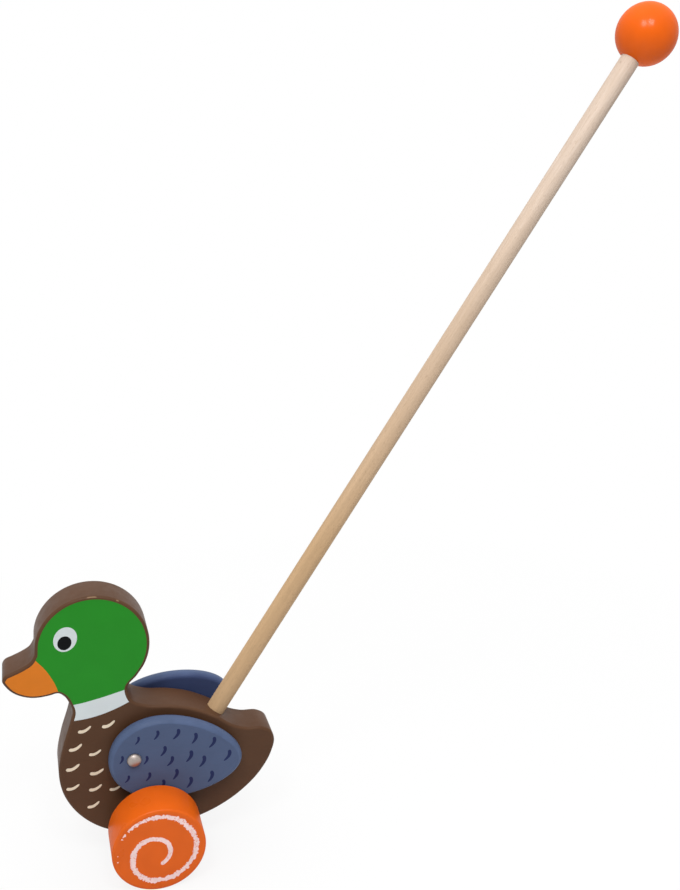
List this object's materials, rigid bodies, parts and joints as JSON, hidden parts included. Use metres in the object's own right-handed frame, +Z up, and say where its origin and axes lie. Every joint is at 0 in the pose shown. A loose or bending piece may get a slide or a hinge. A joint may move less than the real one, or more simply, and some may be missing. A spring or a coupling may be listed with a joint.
{
  "type": "duck push toy",
  "caption": "Wooden duck push toy: flat sawn duck on wheels, axle cams that lift its hinged wings, and a slanted dowel handle ending in a ball grip.",
  "frame": {"origin": "centre of the bounding box's base, on the floor that the wheels stand on", "axes": "+X from the duck's bill towards the handle, +Z up, the axle along Y, the duck's left side at -Y"},
  "size_m": [0.4243, 0.0998, 0.5254],
  "materials": {
    "brown_paint": "satin",
    "orange_lacquer": "gloss",
    "blue_paint": "satin",
    "beech": "bare sanded",
    "fibre": "matte",
    "steel": "bright",
    "bright_cap": "polished"
  },
  "bodies": {
    "body": {"duck_body": "brown_paint", "handle_rod": "beech", "handle_ball": "orange_lacquer", "wing_pin": "steel", "wing_washer_left": "fibre", "wing_washer_right": "fibre", "push_nut_left": "steel", "push_nut_right": "steel", "pin_cap_left": "bright_cap", "pin_cap_right": "bright_cap", "axle_washer_left": "fibre", "axle_washer_right": "fibre"},
    "wheelset": {"axle": "beech", "wheel_left": "orange_lacquer", "wheel_right": "orange_lacquer", "cam_left": "beech", "cam_right": "beech"},
    "left_wing": {"wing_left": "blue_paint"},
    "right_wing": {"wing_right": "blue_paint"}
  },
  "joints": [
    {"name": "wheel_spin", "type": "hinge", "parent": "body", "child": "wheelset", "pos_m": [-0.12917, 0, 0.029], "axis": [0, -1, 0], "continuous": true},
    {"name": "left_wing_flap", "type": "hinge", "parent": "body", "child": "left_wing", "pos_m": [-0.13886, 0, 0.07821], "axis": [0, -1, 0], "range_deg": [0, 30]},
    {"name": "right_wing_flap", "type": "hinge", "parent": "body", "child": "right_wing", "pos_m": [-0.13886, 0, 0.07821], "axis": [0, -1, 0], "range_deg": [-26.7, 3.3]}
  ]
}
